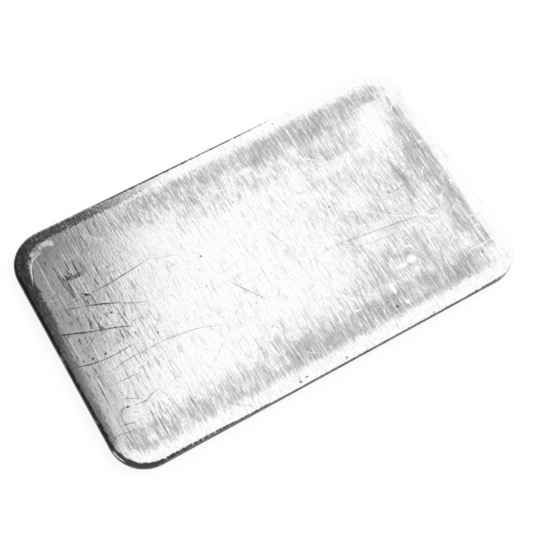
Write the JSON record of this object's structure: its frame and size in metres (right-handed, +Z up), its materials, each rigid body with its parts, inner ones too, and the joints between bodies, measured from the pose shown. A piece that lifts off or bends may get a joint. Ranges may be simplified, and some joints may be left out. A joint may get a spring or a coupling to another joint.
{
  "type": "metal ingot",
  "caption": "Thin struck bar of brushed white metal with rounded corners and soft rolled edges, a pocket-size ingot.",
  "frame": {"origin": "middle of the bar's underside, on the surface that the bar lies on", "axes": "+X along the bar's length, +Y across its width, +Z up through its thickness"},
  "size_m": [0.05, 0.0298, 0.0021],
  "materials": {
    "silver": "fine silver, brushed across the bar's width, with light scratches, a few pits and a darker, duller edge"
  },
  "bodies": {
    "root": {"ingot_bar": "silver"}
  },
  "joints": []
}
